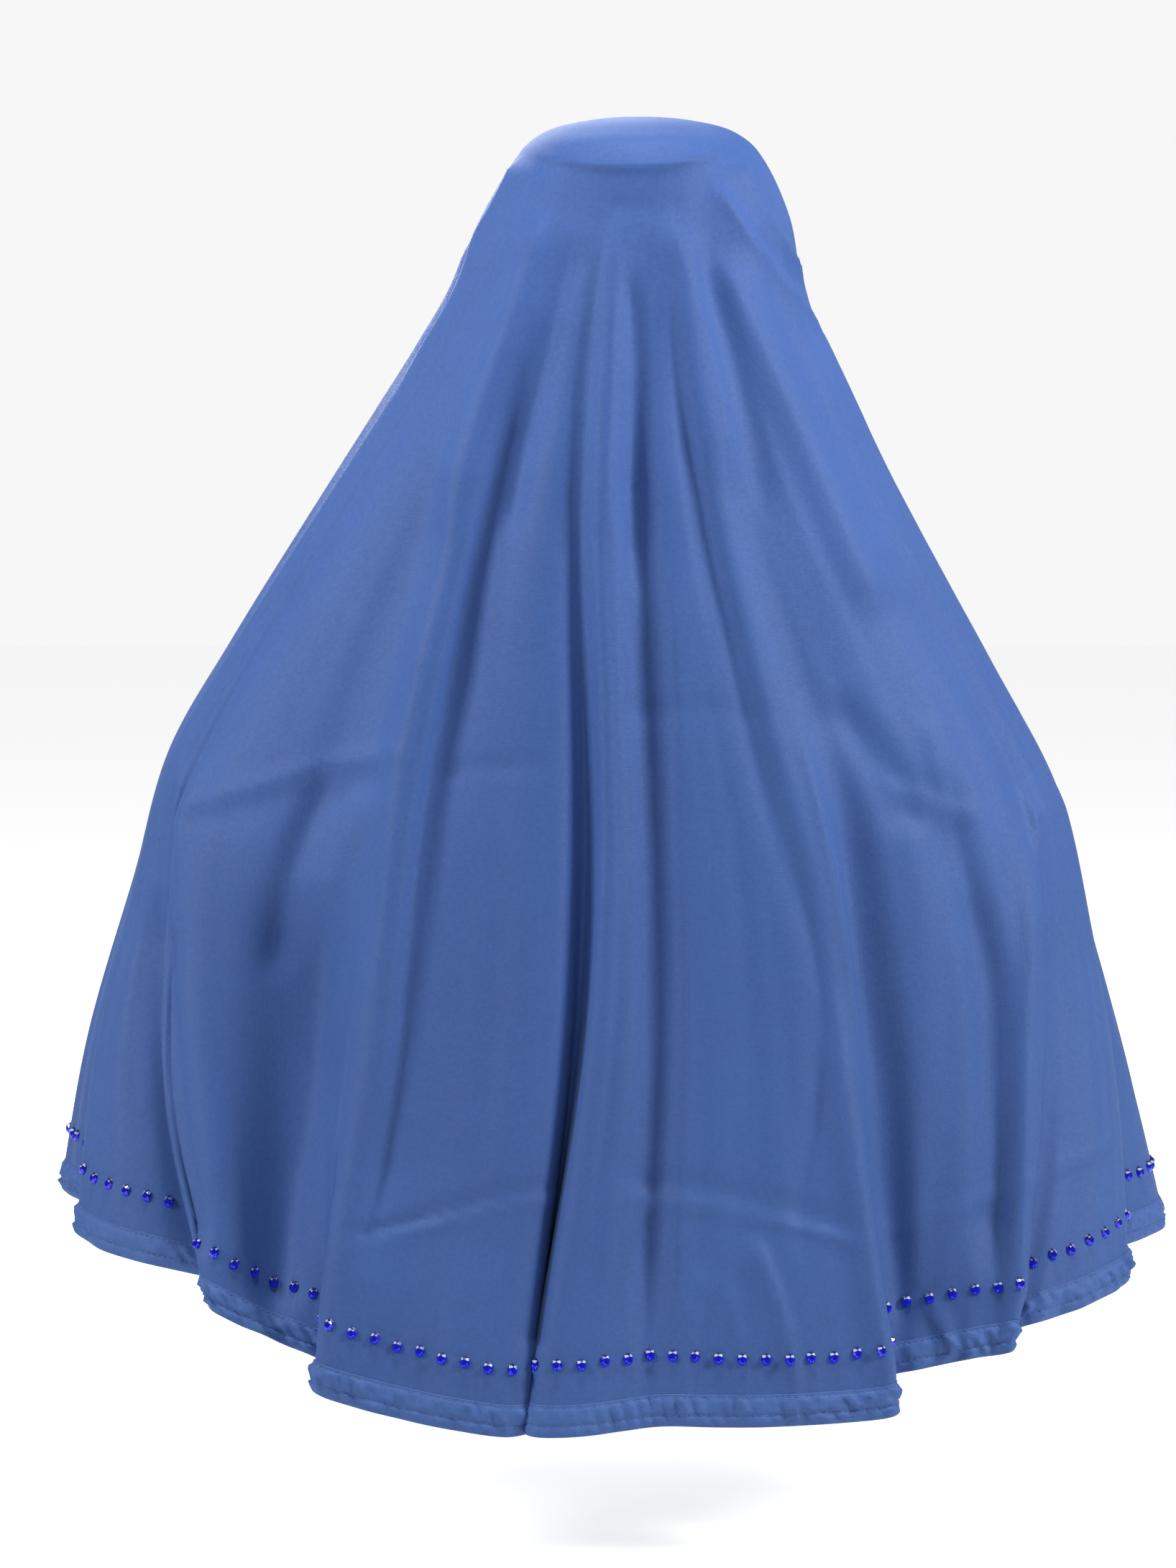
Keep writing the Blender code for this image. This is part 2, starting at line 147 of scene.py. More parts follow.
hijabPieces = collection("hijabPieces")
studio = collection("studio")


# Shape of the cloth

def smoothRows(knots, values, at):
    # cubic Hermite curve through the rows, each slope weighed from the two spans beside it
    spans = np.diff(knots)[:, None]
    slopes = np.diff(values, axis=0) / spans
    tangents = np.empty_like(values)
    tangents[1:-1] = ((slopes[:-1] * spans[1:] + slopes[1:] * spans[:-1])
                      / (spans[:-1] + spans[1:]))
    tangents[0], tangents[-1] = slopes[0], slopes[-1]
    i = np.clip(np.searchsorted(knots, at, side="right") - 1, 0, len(knots) - 2)
    t = ((at - knots[i]) / np.diff(knots)[i])[:, None]
    return ((2 * t**3 - 3 * t**2 + 1) * values[i] + (t**3 - 2 * t**2 + t) * spans[i] * tangents[i]
            + (3 * t**2 - 2 * t**3) * values[i + 1] + (t**3 - t**2) * spans[i] * tangents[i + 1])


foldTable = np.array([row[1:] for row in folds], float)
sectionSizes = np.array([np.multiply(row[2:], zones[row[1]]) for row in sections])
ringSteps = np.hypot(np.diff(sectionSizes[:, 0]), np.diff(sectionSizes[:, 1:4].mean(1)))
sectionLevels = np.concatenate([[0.0], np.cumsum(ringSteps)])
clothLength = sectionLevels[-1]
levelOf = {row[0]: level for row, level in zip(sections, sectionLevels)}
stationLevels = np.array([levelOf[name] for name in
                          ("crownTop", "underRim", "temple", "shoulder", "hem")])
foldTurns = np.radians(foldTable[:, 0:3].T)[[0, 0, 0, 1, 2]]
foldOuts = foldTable[:, 3:6].T[[0, 0, 0, 1, 2]] * drape["foldDepth"]
foldOuts[:2] = 0.0


def foldWeights(at, crispness=1.0):
    # at counts fold lines round the cloth: weights of the four nearest lines, mixed between
    # a B-spline (soft lines) and a curve through the lines (crisp ones)
    crisp = foldTable[:, 7] * crispness
    first = np.floor(at).astype(int)
    f = at - first
    soft = np.stack([(1 - f)**3, 3 * f**3 - 6 * f**2 + 4,
                     -3 * f**3 + 3 * f**2 + 3 * f + 1, f**3], 1) / 6
    firm = np.stack([-f**3 + 2 * f**2 - f, 3 * f**3 - 5 * f**2 + 2,
                     -3 * f**3 + 4 * f**2 + f, f**3 - f**2], 1) / 2
    near = (first[:, None] + np.arange(-1, 3)) % foldCount
    share = (soft * crisp[near]).sum(1)[:, None]
    weights = np.zeros((len(at), foldCount))
    np.add.at(weights, (np.arange(len(at))[:, None], near), soft * (1 - share) + firm * share)
    return weights


def foldLines(levels):
    # each fold line is a point on the section's ellipse, moved out along its normal, and it
    # hangs lower towards the hem by a smooth step
    drop, width, back, front, shift = smoothRows(sectionLevels, sectionSizes, levels).T[:, :, None]
    turn = smoothRows(stationLevels, foldTurns, levels)
    out = smoothRows(stationLevels, foldOuts, levels)
    hang = np.clip((levels - levelOf["temple"]) / (clothLength - levelOf["temple"]), 0, 1)[:, None]
    hang = hang * hang * (3 - 2 * hang)
    depth = np.where(np.cos(turn) > 0, back, front)
    nx, ny = np.sin(turn) * depth, np.cos(turn) * width
    size = np.maximum(np.hypot(nx, ny), 1e-9)
    return np.stack([shift - width * np.sin(turn) - out * nx / size,
                     depth * np.cos(turn) + out * ny / size,
                     -drop - foldTable[:, 6] * drape["tailDip"] * hang], 2)


def outwardOf(points):
    # cross product of the grid's two directions; the crown's pole looks up
    along = np.roll(points, -1, 1) - np.roll(points, 1, 1)
    down = np.gradient(points, axis=0)
    normals = np.cross(down, along)
    size = np.linalg.norm(normals, axis=2, keepdims=True)
    normals = normals / np.maximum(size, 1e-12)
    normals[size[..., 0] < 1e-12] = (0, 0, 1)
    return normals


# small waves that run down the cloth: how many round it, height in metres, phase, drift
smallWaves = (
    (29, 0.00055, 0.4, 1.7), (43, 0.00045, 2.1, -2.3), (61, 0.00030, 4.4, 3.1),
    (83, 0.00022, 1.2, -4.0), (17, 0.00080, 5.2, 1.1),
)

# creases that show behind. Places are millimetres on the plane of the picture, right and up
# from its centre. Two widths: right of the crease or above it, then left of it or below it.
# Then its height out of the cloth, how crisp it is, and its places
creases = (
    ("crownFold", 16, 3.0, 1.5, 0.9,
     ((-34, 369), (-14, 363), (9, 360), (36, 360), (60, 363), (76, 368), (88, 376))),
    ("tentLeft", 16, 4, 3.2, 0.95,
     ((-38, 366), (-44, 352), (-53, 334), (-64, 316), (-76, 297), (-92, 270), (-114, 236))),
    ("tentRight", 4, 13, 3.2, 0.95,
     ((86, 366), (92, 352), (101, 334), (110, 318), (122, 298), (136, 266))),
    ("tentRightInner", 4, 12, 3.4, 0.9,
     ((70, 352), (79, 339), (90, 322), (103, 303), (127, 270), (154, 228), (184, 178))),
    ("backLine", 2.0, 2.0, -0.7, 0.6, ((14, 338), (22, 336), (38, 335))),
    ("crestLeft", 8, 13, 4.2, 0.3,
     ((-24, 338), (-34, 303), (-46, 264), (-58, 235), (-70, 202), (-84, 140))),
    ("crestLeftShade", 11, 7, -1.8, 0.0,
     ((-8, 320), (-16, 286), (-26, 246), (-40, 190), (-50, 140))),
    ("crestMiddle", 5, 7, 1.7, 0.2, ((15, 332), (14, 286), (13, 244), (12, 202), (10, 140))),
    ("crestMiddleShade", 8, 5, -1.9, 0.0, ((25, 300), (27, 262), (28, 220), (28, 170), (28, 110))),
    ("crestRight", 9, 12, 3.0, 0.2,
     ((45, 334), (55, 303), (61, 279), (68, 252), (75, 219), (84, 170))),
    ("crestRightShade", 8, 8, -1.2, 0.0, ((66, 310), (76, 275), (86, 240), (96, 200), (106, 150))),
    ("brightRidge", 14, 5, 2.4, 0.6,
     ((48, 130), (52, 60), (54, -40), (57, -130), (54, -230), (52, -340))),
    ("armpitLeft", 6, 3.5, 1.4, 0.8,
     ((-241, -16), (-220, -10), (-200, -4), (-160, 7), (-120, 16), (-100, 14))),
    ("armpitLeftUnder", 6, 12, -0.7, 0.0, ((-236, -24), (-190, -10), (-150, 2), (-116, 4))),
    ("armDip", 12, 8, -3.2, 0.1, ((-146, 10), (-160, -14), (-172, -44), (-182, -82), (-188, -116))),
    ("armDipSide", 9, 12, 1.3, 0.3, ((-122, -2), (-140, -34), (-152, -66), (-164, -100))),
    ("armpitRight", 10, 14, -2.6, 0.0, ((140, 52), (162, 26), (182, -2), (190, -30))),
    ("armpitRightLine", 4, 8, 1.3, 0.6, ((170, 2), (188, -5), (208, -13), (230, -20))),
    ("armpitRightSide", 10, 6, 1.8, 0.4, ((198, 40), (204, 10), (214, -30), (222, -80))),
    ("packLeft", 3.2, 4.5, 1.1, 0.9,
     ((-145, -271), (-122, -266), (-103, -261), (-78, -254), (-40, -243), (-13, -239))),
    ("packLeftLine", 2.6, 6.0, -1.2, 0.2,
     ((-145, -264), (-122, -259), (-103, -254), (-53, -240), (-18, -232))),
    ("packRight", 5.0, 4.0, 0.8, 0.7,
     ((16, -240), (48, -244), (76, -249), (104, -255), (140, -264), (163, -272))),
    ("packRightLine", 8.0, 4.0, -0.9, 0.1, ((16, -230), (60, -236), (104, -246), (160, -262))),
    ("packMiddle", 6, 6, -0.5, 0.2, ((14, 42), (60, 44), (118, 38))),
    ("packMiddleLow", 5, 4, -0.8, 0.3, ((-96, 4), (-60, 10), (-20, 10))),
    ("pleatA", 4, 9, 2.2, 0.7, ((72, -282), (64, -310), (58, -345), (57, -382))),
    ("pleatB", 4, 10, 2.8, 0.7, ((96, -262), (110, -300), (119, -340), (120, -382))),
    ("pleatC", 5, 4, 1.4, 0.6, ((82, -292), (88, -330), (90, -380))),
    ("pleatLeft", 5, 9, 2.4, 0.5, ((-28, -326), (-34, -348), (-40, -380))),
    ("pleatFar", 8, 4, 1.8, 0.7, ((196, -300), (206, -318), (214, -336))),
    ("valleyLeftLow", 13, 30, -9.0, 0.0,
     ((-156, -60), (-162, -120), (-167, -190), (-177, -260), (-185, -330))),
    ("crestLeftLow", 13, 8, 2.6, 0.4,
     ((-86, 120), (-97, 66), (-110, 5), (-117, -74), (-131, -147), (-145, -242), (-150, -330),
      (-150, -360))),
    ("middleShade", 7, 11, -3.0, 0.1,
     ((24, 240), (28, 180), (31, 130), (35, 60), (38, 0), (40, -70), (41, -140), (40, -210),
      (37, -280), (34, -340))),
    ("farRidgeLine", 22, 6, 3.6, 0.6,
     ((258, 0), (258, -29), (256, -102), (253, -158), (250, -270), (254, -340))),
    ("armRidgeLine", 12, 5, 2.2, 0.7,
     ((-236, 20), (-237, -7), (-237, -74), (-234, -147), (-229, -203), (-219, -264),
      (-217, -310))),
    ("shadeRightLow", 14, 8, -3.6, 0.0,
     ((146, 20), (154, -60), (162, -120), (170, -172), (174, -235), (182, -290), (188, -330))),
    ("crestRightOuter", 15, 10, 3.2, 0.2,
     ((74, 310), (93, 269), (123, 206), (150, 142), (170, 96))),
    ("flankLeft", 20, 7, -6.0, 0.1,
     ((-24, 275), (-46, 206), (-63, 132), (-76, 73), (-92, 0), (-102, -72), (-110, -156),
      (-121, -225), (-130, -290))),
    ("valleyArmLow", 9, 20, -3.4, 0.0,
     ((-249, -60), (-246, -120), (-238, -172), (-231, -235), (-228, -280))),
    ("valleyRight", 8, 9, -3.0, 0.1,
     ((45, 280), (58, 206), (70, 139), (85, 80), (100, 17), (118, -46), (135, -109), (137, -172),
      (127, -235), (124, -280))),
    ("crestRightLow", 7, 7, 3.0, 0.5,
     ((118, 55), (133, -18), (144, -75), (151, -130), (155, -186), (160, -256), (171, -330),
      (176, -360))),
    ("valleyFar", 8, 16, -5.0, 0.1,
     ((206, 10), (219, -46), (236, -109), (239, -172), (241, -235), (236, -290))),
    ("turnedEdge", 5, 2.4, 0.7, 0.8,
     ((160, -268), (200, -254), (240, -240), (262, -230), (300, -214), (322, -196))),
)
crease = {
    "core": 0.5,            # a crisp crease is rounded within this many millimetres
    "depth": 1.45,          # every crease's height is multiplied by this
    "steps": 20,            # points along a crease's curve
    "reach": 3.5,           # widths beyond which a crease is left out
    "tentWidth": 0.6,       # a crisp crease's width, as a share of a soft one's
    "fade": 2.6,            # how soon it comes to its full height from its ends
    "turnFade": 3.5,        # how soon creases come in from the sides, by facing
    "sideFade": 60,         # and by place, per metre behind the sides
}


def picturePlaces(points):
    # where a point shows on the picture's plane, in millimetres right and up of its centre
    e = math.radians(camera["elevation"])
    away = np.array([0.0, math.cos(e), math.sin(e)])
    up = np.array([0.0, -math.sin(e), math.cos(e)])
    offset = points - np.array(camera["target"])
    grow = 1000 / (1 - offset @ away / camera["distance"])
    return -offset[..., 0] * grow, (offset @ up) * grow


def creaseHeights(points):
    # each crease is a smooth curve. Its height falls off across it as a bell, or as a tent with
    # a rounded top where it is crisp, and fades at its two ends
    right, up = picturePlaces(points)
    total = np.zeros(right.shape)
    for name, widthAbove, widthBelow, height, crisp, places in creases:
        places = np.array(places, float)
        knots = np.arange(len(places), dtype=float)
        curve = smoothRows(knots, places, np.linspace(0, knots[-1], crease["steps"]))
        reach = crease["reach"] * max(widthAbove, widthBelow)
        low, high = curve.min(0) - reach, curve.max(0) + reach
        inside = (right > low[0]) & (right < high[0]) & (up > low[1]) & (up < high[1])
        spot = np.stack([right[inside], up[inside]], 1)
        best, place, side = np.full(len(spot), 1e9), np.zeros(len(spot)), np.zeros(len(spot))
        for i in range(len(curve) - 1):
            step = curve[i + 1] - curve[i]
            offset = spot - curve[i]
            t = np.clip((offset @ step) / (step @ step), 0, 1)
            away = np.linalg.norm(offset - t[:, None] * step, axis=1)
            nearer = away < best
            best[nearer], place[nearer] = away[nearer], (i + t[nearer]) / (len(curve) - 1)
            side[nearer] = (step[0] * offset[:, 1] - step[1] * offset[:, 0])[nearer]
        width = np.where(side > 0, widthAbove, widthBelow)
        bell = np.exp(-(best / width)**2)
        core = crease["core"]
        tent = np.exp(-(np.hypot(best, core) - core) / (crease["tentWidth"] * width))
        fade = np.clip(np.sin(np.pi * np.clip(place, 0.0, 1.0)) * crease["fade"], 0, 1)
        total[inside] += (0.001 * crease["depth"] * height * fade
                          * (bell * (1 - crisp) + tent * crisp))
    return total


def clothSurface(levels, at):
    # rings of points on the cloth's inner face, with the small waves and the creases on it
    lines = foldLines(levels)
    firm = np.clip((levels - levelOf["forehead"]) / (levelOf["neck"] - levelOf["forehead"]), 0, 1)
    points = (np.einsum("pl,rlc->rpc", foldWeights(at, 0.0), lines) * (1 - firm)[:, None, None]
              + np.einsum("pl,rlc->rpc", foldWeights(at), lines) * firm[:, None, None])
    normals = outwardOf(points)
    turn = 2 * np.pi * at / foldCount
    grow = np.clip((levels - levelOf["underRim"]) / clothLength, 0, 1)[:, None]
    height = np.zeros(points.shape[:2])
    for count, size, phase, drift in smallWaves:
        height += size * np.sin(count * turn + phase + drift * grow * 3) * grow * (0.5 + grow)
    behind = (np.clip(normals[..., 1] * crease["turnFade"], 0, 1)
              * np.clip(points[..., 1] * crease["sideFade"] + 1.0, 0, 1))
    height += creaseHeights(points) * behind
    return points + normals * height[..., None], normals


# metres along the edge at places round the cloth
runPlaces = np.arange(foldCount * 40 + 1) / 40
edgeRing = np.einsum("pl,rlc->rpc", foldWeights(runPlaces), foldLines(np.array([clothLength])))[0]
edgeRun = np.append(0, np.cumsum(np.linalg.norm(np.diff(edgeRing, axis=0), axis=1)))


def roundAt(back, front):
    # places round the cloth at an even spacing: one spacing behind, another in front
    lines = foldLines(np.array([levelOf["shoulder"], clothLength]))
    gaps = np.linalg.norm(np.roll(lines, -1, 1) - lines, axis=2).max(0)
    ahead = np.abs(foldTable[:, 0]) > 100
    counts = np.ceil(gaps / np.where(ahead, front, back)).astype(int)
    return np.concatenate([i + np.arange(count) / count for i, count in enumerate(counts)])


# Meshes

def gridMesh(name, points, across, down, closed=False):
    # squares between rings of points; the map holds metres round (across) and down the cloth
    rings, around = points.shape[:2]
    index = np.arange(rings * around).reshape(rings, around)
    rows = np.arange(rings if closed else rings - 1)
    below, beside = (rows + 1) % rings, (np.arange(around) + 1) % around
    corners = np.stack([index[rows], index[below],
                        index[below][:, beside], index[rows][:, beside]], -1)
    mesh = bpy.data.meshes.new(name)
    mesh.from_pydata(points.reshape(-1, 3).tolist(), [], corners.reshape(-1, 4).tolist())
    acrossNext = np.append(across[1:], 2 * across[-1] - across[-2])
    downNext = np.append(down[1:], 2 * down[-1] - down[-2])
    u = np.stack([across, across, acrossNext, acrossNext], 1)[None].repeat(len(rows), 0)
    v = np.stack([down, downNext, downNext, down], 1)[rows][:, None].repeat(around, 1)
    layer = mesh.uv_layers.new(name="cloth")
    layer.data.foreach_set("uv", np.stack([u, v], -1).astype(np.float32).ravel())
    mesh.shade_smooth()
    return mesh


def addPiece(name, mesh, material, node=None):
    piece = bpy.data.objects.new(name, mesh)
    hijabPieces.objects.link(piece)
    mesh.materials.append(material)
    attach(piece, "root")
    if node:
        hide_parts(node)
    return piece


def placeCopies(template, places, frames):
    # every copy's points are its place plus the template in that place's own three directions
    return (places[:, None] + np.einsum("tk,nkc->ntc", template, frames)).reshape(-1, 3)


def copiesMesh(name, template, faces, places, frames):
    points = placeCopies(template, places, frames)
    starts = np.arange(len(places)) * len(template)
    allFaces = [[corner + int(start) for corner in face] for start in starts for face in faces]
    mesh = bpy.data.meshes.new(name)
    mesh.from_pydata(points.tolist(), [], allFaces)
    return mesh


# Materials

def nodeGroup(name, inputs, outputs):
    group = bpy.data.node_groups.new(name, "ShaderNodeTree")
    for label, kind, value in inputs:
        socket = group.interface.new_socket(label, in_out="INPUT", socket_type=kind)
        if value is not None:
            socket.default_value = value
    for label, kind in outputs:
        group.interface.new_socket(label, in_out="OUTPUT", socket_type=kind)
    return group, group.nodes.new("NodeGroupInput"), group.nodes.new("NodeGroupOutput")


def addNode(tree, kind, inputs=None, **settings):
    node = tree.nodes.new(kind)
    for key, value in settings.items():
        setattr(node, key, value)
    for key, value in (inputs or {}).items():
        if isinstance(value, bpy.types.NodeSocket):
            tree.links.new(value, node.inputs[key])
        else:
            node.inputs[key].default_value = value
    return node


def addMath(tree, operation, a, b=0.0, clamp=False):
    return addNode(tree, "ShaderNodeMath", {0: a, 1: b}, operation=operation,
                   use_clamp=clamp).outputs[0]


def crepeGroup():
    # crepe: twisted threads that cross, broken by grain, with slow patches of tone.
    # height is the threads' relief; tone and gloss vary round one
    floatIn, vectorIn = "NodeSocketFloat", "NodeSocketVector"
    group, into, out = nodeGroup(
        "crepe",
        [("Cloth map", vectorIn, None), ("Place", vectorIn, None),
         ("Threads per metre", floatIn, 900.0),
         ("Grain", floatIn, 1.0), ("Patches", floatIn, 1.0)],
        [("Height", floatIn), ("Tone", floatIn), ("Gloss", floatIn)])
    threads = []
    for direction in ("X", "Y"):
        scaled = addNode(group, "ShaderNodeVectorMath", {0: into.outputs["Cloth map"]},
                         operation="SCALE")
        group.links.new(into.outputs["Threads per metre"], scaled.inputs["Scale"])
        wave = addNode(group, "ShaderNodeTexWave",
                       {"Vector": scaled.outputs[0], "Scale": 0.314, "Distortion": 2.4,
                        "Detail": 2.0, "Detail Scale": 0.6},
                       wave_type="BANDS", bands_direction=direction)
        threads.append(wave.outputs["Fac"])
    weave = addMath(group, "MULTIPLY", threads[0], threads[1])
    fine = addNode(group, "ShaderNodeTexNoise",
                   {"Vector": into.outputs["Place"], "Scale": 1100.0, "Detail": 3.0,
                    "Roughness": 0.7})
    grain = addNode(group, "ShaderNodeTexNoise",
                    {"Vector": into.outputs["Place"], "Scale": 420.0, "Detail": 4.0,
                     "Roughness": 0.65})
    patch = addNode(group, "ShaderNodeTexNoise",
                    {"Vector": into.outputs["Place"], "Scale": 14.0, "Detail": 3.0,
                     "Roughness": 0.5})
    rough = addMath(group, "ADD", fine.outputs["Fac"], grain.outputs["Fac"])
    rough = addMath(group, "MULTIPLY", rough, into.outputs["Grain"])
    height = addMath(group, "ADD", addMath(group, "MULTIPLY", weave, 0.5), rough)
    group.links.new(height, out.inputs["Height"])
    spread = addMath(group, "SUBTRACT", grain.outputs["Fac"], 0.5)
    spread = addMath(group, "MULTIPLY", spread,
                     addMath(group, "MULTIPLY", into.outputs["Grain"], 0.30))
    slow = addMath(group, "SUBTRACT", patch.outputs["Fac"], 0.5)
    slow = addMath(group, "MULTIPLY", slow,
                   addMath(group, "MULTIPLY", into.outputs["Patches"], 0.22))
    tone = addMath(group, "ADD", addMath(group, "ADD", spread, slow), 1.0)
    group.links.new(tone, out.inputs["Tone"])
    gloss = addMath(group, "MULTIPLY", spread, -0.5)
    group.links.new(addMath(group, "ADD", gloss, 1.0), out.inputs["Gloss"])
    return group


crepe = crepeGroup()


def clothMaterial(name, look):
    # crepe in one colour with painted light by height: lighter at the crown and deeper towards the
    # hem, the light from above painted into the colour
    material = bpy.data.materials.new(name)
    material.use_nodes = True
    tree = material.node_tree
    shader = tree.nodes["Principled BSDF"]
    place = addNode(tree, "ShaderNodeTexCoord").outputs["Object"]
    clothMap = addNode(tree, "ShaderNodeUVMap", uv_map="cloth").outputs["UV"]
    threads = addNode(tree, "ShaderNodeGroup", node_tree=crepe)
    tree.links.new(clothMap, threads.inputs["Cloth map"])
    tree.links.new(place, threads.inputs["Place"])
    threads.inputs["Threads per metre"].default_value = look["threads"]
    threads.inputs["Grain"].default_value = look["grain"]
    threads.inputs["Patches"].default_value = look["patches"]
    heightAt = addNode(tree, "ShaderNodeSeparateXYZ", {0: place}).outputs["Z"]
    # painted light and shade by height: lighter at the crown, darker towards the hem
    paintedLightByHeight = addNode(tree, "ShaderNodeMapRange",
                    {"Value": heightAt, "From Min": look["lowFrom"], "From Max": look["highFrom"]},
                    interpolation_type="SMOOTHSTEP").outputs["Result"]
    colour = addNode(tree, "ShaderNodeMix", {"Factor": paintedLightByHeight, "A": look["low"], "B": look["high"]},
                     data_type="RGBA")
    tone = addNode(tree, "ShaderNodeVectorMath", {0: colour.outputs["Result"]}, operation="SCALE")
    tree.links.new(threads.outputs["Tone"], tone.inputs["Scale"])
    tree.links.new(tone.outputs[0], shader.inputs["Base Color"])
    rough = addMath(tree, "MULTIPLY", threads.outputs["Gloss"], look["roughness"], clamp=True)
    tree.links.new(rough, shader.inputs["Roughness"])
    bump = addNode(tree, "ShaderNodeBump", {"Height": threads.outputs["Height"],
                                            "Strength": look["bump"], "Distance": look["relief"]})
    tree.links.new(bump.outputs["Normal"], shader.inputs["Normal"])
    shader.inputs["Sheen Weight"].default_value = look["sheen"]
    shader.inputs["Sheen Roughness"].default_value = look["sheenRoughness"]
    shader.inputs["Sheen Tint"].default_value = look["sheenTint"]
    shader.inputs["Specular IOR Level"].default_value = look["specular"]
    return material


crepeLook = {
    "threads": 900.0, "grain": 1.4, "patches": 1.0,
    "lowFrom": -0.70, "highFrom": 0.10,
    # low and high: the painted shade towards the hem and the painted light at the crown
    "low": (0.047, 0.107, 0.318, 1.0), "high": (0.062, 0.141, 0.432, 1.0),
    "roughness": 0.55, "bump": 0.30, "relief": 0.0004,
    "sheen": 0.12, "sheenRoughness": 0.45, "sheenTint": (0.50, 0.66, 1.0, 1.0), "specular": 0.28,
}
hemLook = dict(crepeLook, grain=1.3, bump=0.4, low=(0.058, 0.130, 0.370, 1.0))
veilCloth = clothMaterial("crepeVeil", crepeLook)
hemCloth = clothMaterial("crepeHem", hemLook)
bandCloth = clothMaterial("crepeFaceBand", dict(crepeLook, grain=1.2))

print("materials for the cloth made")


# The draped cloth

def makeDrapedCloth():
    at = roundAt(drape["backSpacing"], drape["frontSpacing"])
    last = clothLength - drape["hemHeight"] + drape["underHem"]
    levels = np.concatenate([np.linspace(0, last, drape["rings"])]
                            + [np.linspace(*part) for part in drape["denser"]])
    levels = np.unique(levels)
    levels = levels[np.append(True, np.diff(levels) > drape["leastStep"])]
    points, normals = clothSurface(levels, at)
    points = points + normals * drape["wall"]
    mesh = gridMesh("drapedCloth", points, np.interp(at, runPlaces, edgeRun), levels)
    piece = addPiece("drapedCloth", mesh, veilCloth, "veil")
    trimMesh(mesh, points)
    return piece, mesh


face = {
    "width": 0.132, "height": 0.168, "top": 0.058,   # the finished opening
    "band": 0.012, "thickness": 0.0027,
    "profile": 20, "girth": 0.026,                   # points and metres round the band
    "trim": 0.45,           # share of the band's width beyond the opening where the cloth ends
    "steps": 220, "gathers": 74, "gatherHeight": 0.00035,
}
faceCentre = np.array([zones["head"][4] / 2, -face["top"] - face["height"] / 2])


def trimMesh(mesh, points):
    # the pole's points become one, and the faces inside the face band's middle line go
    bm = bmesh.new()
    bm.from_mesh(mesh)
    grow = face["band"] * face["trim"]
    half = np.array([face["width"] / 2 + grow, face["height"] / 2 + grow])
    flat = points.reshape(-1, 3)
    inside = ((((flat[:, [0, 2]] - faceCentre) / half)**2).sum(1) < 1) & (flat[:, 1] < 0)
    bm.verts.ensure_lookup_table()
    bmesh.ops.delete(bm, geom=[bm.verts[i] for i in np.flatnonzero(inside)], context="VERTS")
    bmesh.ops.remove_doubles(bm, verts=bm.verts, dist=0.00001)
    bm.to_mesh(mesh)
    bm.free()


drapedCloth, drapedMesh = makeDrapedCloth()
print("draped cloth made:", len(drapedMesh.polygons), "faces")


# The band round the face

def clothPairs(levels, at):
    # points of the plain front, one for each pair of level and place round
    return np.einsum("nl,nlc->nc", foldWeights(at), foldLines(levels))


def frontPlaces(x, z):
    # the level and place round where the front shows a given x and z, by Newton steps
    levels = np.full(x.shape, levelOf["jaw"])
    at = np.full(x.shape, 0.0)
    small = 1e-4
    for step in range(14):
        here = clothPairs(levels, at)
        byLevel = (clothPairs(levels + small, at) - here) / small
        byPlace = (clothPairs(levels, at + small) - here) / small
        a, b, c, d = byLevel[:, 0], byPlace[:, 0], byLevel[:, 2], byPlace[:, 2]
        det = a * d - b * c
        ex, ez = x - here[:, 0], z - here[:, 2]
        levels = levels + np.clip((d * ex - b * ez) / det, -0.03, 0.03)
        at = at + np.clip((a * ez - c * ex) / det, -0.5, 0.5)
        levels = np.clip(levels, 0.02, clothLength)
    here = clothPairs(levels, at)
    normal = np.cross(clothPairs(levels + small, at) - here,
                      clothPairs(levels, at + small) - here)
    return here, normal / np.linalg.norm(normal, axis=1)[:, None]


def makeFaceBand():
    # a flat oval profile carried round the opening: offsets across the band, and a lift off the
    # cloth that closes at both edges, with small gathers
    turn = np.linspace(0, 2 * np.pi, face["steps"], endpoint=False)
    profile = np.linspace(0, 2 * np.pi, face["profile"], endpoint=False)
    half = face["band"] / 2
    rows = []
    for p in profile:
        offset = half + half * math.cos(p)
        x = faceCentre[0] + (face["width"] / 2 + offset) * np.sin(turn)
        z = faceCentre[1] + (face["height"] / 2 + offset) * np.cos(turn)
        here, normal = frontPlaces(x, z)
        lift = math.copysign(abs(math.sin(p))**0.6, math.sin(p)) * face["thickness"] / 2
        gather = face["gatherHeight"] * np.sin(face["gathers"] * turn + 2 * np.sin(3 * turn))
        gather = gather * abs(math.cos(p))
        rows.append(here + normal * (lift + drape["wall"] / 2 + gather)[:, None])
    points = np.array(rows)
    across = turn * face["height"] / 2
    down = np.linspace(0, face["girth"], face["profile"])
    mesh = gridMesh("faceBand", points, across, down, closed=True)
    return addPiece("faceBand", mesh, bandCloth, "face_band")


faceBand = makeFaceBand()
print("face band made")


# The turned hem, its stitches and the stones

